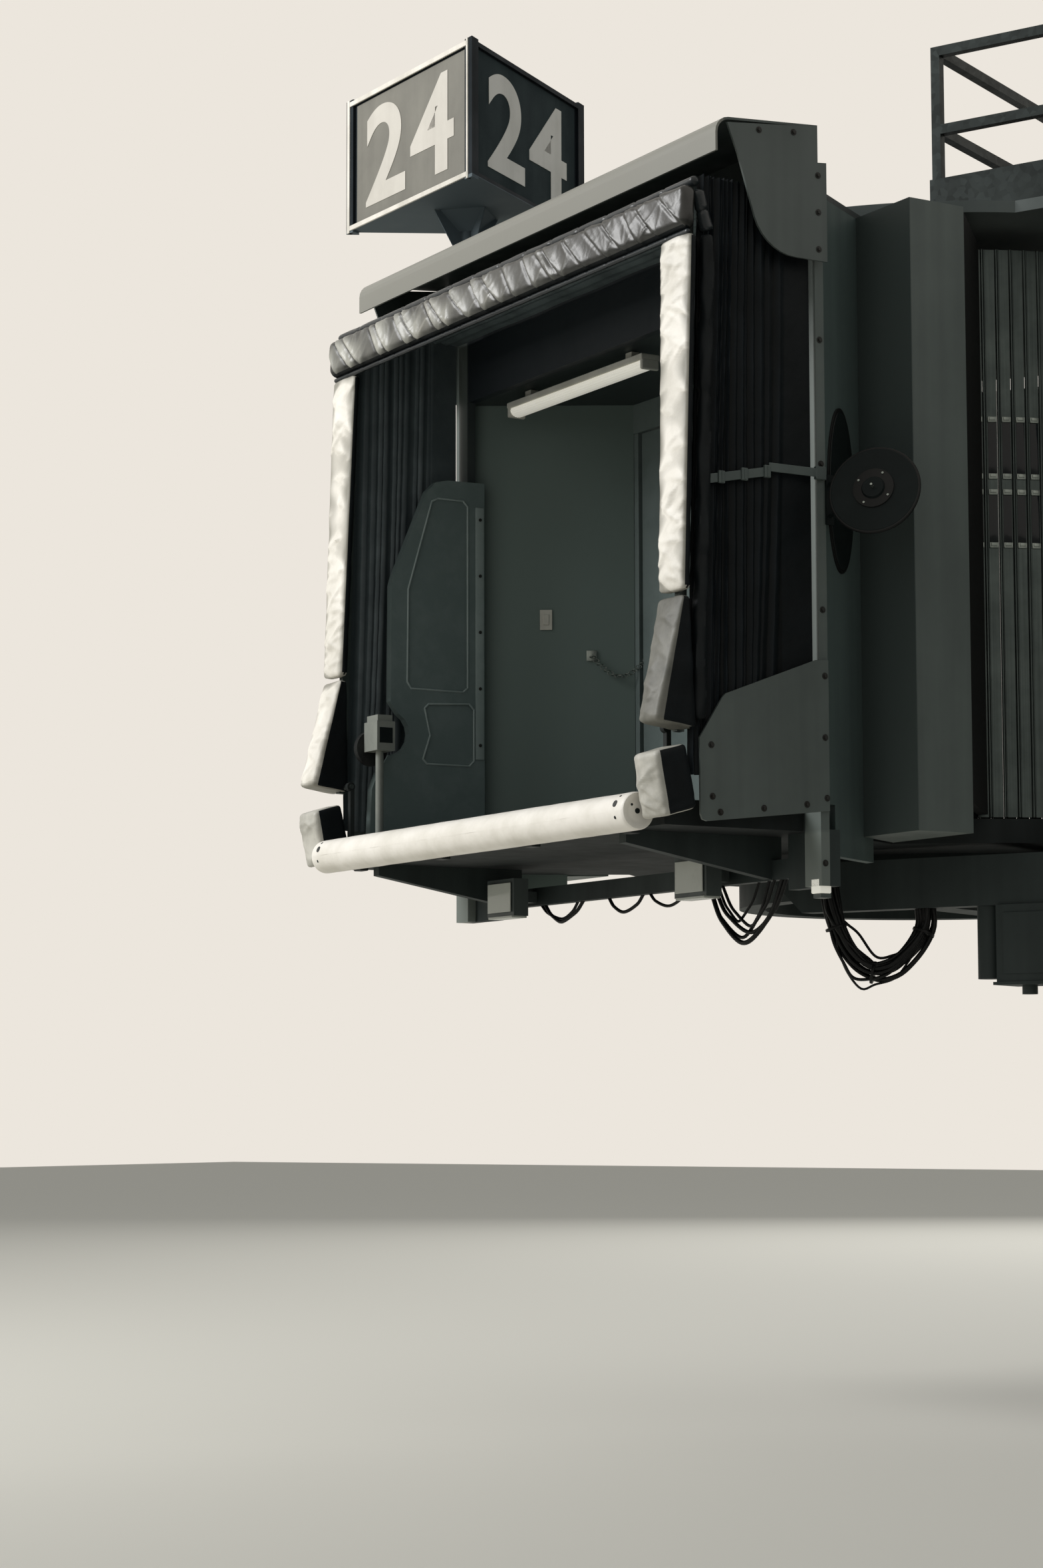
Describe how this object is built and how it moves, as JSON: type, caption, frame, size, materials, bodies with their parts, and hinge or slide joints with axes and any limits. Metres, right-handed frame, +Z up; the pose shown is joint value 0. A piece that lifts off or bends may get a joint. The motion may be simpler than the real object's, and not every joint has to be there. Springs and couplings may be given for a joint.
{
  "type": "jet bridge",
  "caption": "Passenger boarding bridge: fixed round room on a column, two telescoping tunnels on wheeled lift columns, turning cab with folding canopy.",
  "frame": {"origin": "on the ground at the middle of the fixed column's base plate", "axes": "+X from the column towards the cab along the tunnels, +Z up, +Y to the left"},
  "size_m": [25.9958, 6.242, 7.452],
  "materials": {
    "galvanised_steel": "hot-dip galvanised, dull spangle",
    "white_paint": "satin enamel, light grey",
    "wall_paint": "satin enamel on ribbed steel sheet",
    "roof_paint": "dull roof coating",
    "frame_paint": "dark grey green structural paint",
    "floor_steel": "dark floor pan",
    "lining": "smooth laminate lining",
    "door_skin": "satin painted door",
    "slats": "mill finish aluminium slats",
    "tyre": "solid tyre rubber",
    "seal_rubber": "black ribbed rubber and brush",
    "bumper_cover": "pale stretched cover over foam",
    "canopy_fabric": "coated pleated fabric",
    "pad_fabric": "satin coated fabric over foam",
    "bow_metal": "anodised tube",
    "guard_plastic": "rotation-moulded polyethylene",
    "lamp_body": "cast lamp housing",
    "lamp_diffuser": "ribbed clear diffuser on a white tray",
    "mirror_shell": "black rimmed mirror back",
    "sign_face": "dark sign faces in a steel frame",
    "leveller_shell": "white moulded housing",
    "cable_jacket": "black cable jackets"
  },
  "bodies": {
    "base": {"rotunda_column": "frame_paint", "rotunda_floor": "floor_steel", "rotunda_walls": "wall_paint", "rotunda_roof": "roof_paint", "corridor_walls": "wall_paint", "inner_floor": "floor_steel", "inner_walls": "wall_paint", "inner_roof": "roof_paint"},
    "outer_tunnel": {"outer_floor": "floor_steel", "outer_walls": "wall_paint", "outer_roof": "roof_paint", "side_beams": "frame_paint", "throat_walls": "wall_paint", "drum_roof": "roof_paint", "roof_platform": "galvanised_steel", "platform_rails": "galvanised_steel", "lift_columns": "white_paint", "axle_beam": "frame_paint", "drive_wheels": "tyre", "service_landing": "galvanised_steel", "service_stair": "galvanised_steel", "stair_rails": "galvanised_steel", "junction_box": "frame_paint", "cable_loop": "cable_jacket", "left_curtain": "slats", "right_curtain": "slats"},
    "cab": {"cab_floor": "floor_steel", "cab_walls": "white_paint", "cab_ceiling": "lining", "front_frame": "white_paint", "door_frame": "lining", "curtain_housings": "white_paint", "curtain_seals": "seal_rubber", "canopy_hood": "white_paint", "side_guards": "white_paint", "bumper": "bumper_cover", "sub_frame": "frame_paint", "flood_lights": "lamp_body", "moulded_guard": "guard_plastic", "ceiling_light": "lamp_diffuser", "side_mirror": "mirror_shell", "gate_sign": "sign_face", "low_cushions": "pad_fabric", "bellows": "canopy_fabric"},
    "canopy": {"canopy_frame": "bow_metal", "canopy_pads": "pad_fabric"},
    "left_leaf": {"left_door": "door_skin"},
    "right_leaf": {"right_door": "door_skin"},
    "leveller_arm": {"leveller": "leveller_shell"}
  },
  "joints": [
    {"name": "tunnel_slide", "type": "slide", "parent": "base", "child": "outer_tunnel", "axis": [1, 0, 0], "range_m": [-5, 1.5]},
    {"name": "cab_turn", "type": "hinge", "parent": "outer_tunnel", "child": "cab", "pos_m": [18.9, 0, 2.98], "axis": [0, 0, 1], "range_deg": [-95, 22.5], "deforming": ["left_curtain", "right_curtain", "cable_loop"]},
    {"name": "canopy_lean", "type": "hinge", "parent": "cab", "child": "canopy", "pos_m": [20.08333, 2.53766, 3.31], "axis": [-0.9063, 0.4226, 0], "range_deg": [0, 16], "deforming": ["bellows"]},
    {"name": "left_door_swing", "type": "hinge", "parent": "cab", "child": "left_leaf", "pos_m": [18.38802, 1.50487, 2.98], "axis": [0, 0, 1], "range_deg": [0, 88]},
    {"name": "right_door_swing", "type": "hinge", "parent": "cab", "child": "right_leaf", "pos_m": [20.38189, 0.57511, 2.98], "axis": [0, 0, 1], "range_deg": [-88, 0]},
    {"name": "leveller_swing", "type": "hinge", "parent": "cab", "child": "leveller_arm", "pos_m": [21.32803, 1.84691, 2.98], "axis": [0, 0, 1], "range_deg": [0, 85]}
  ]
}
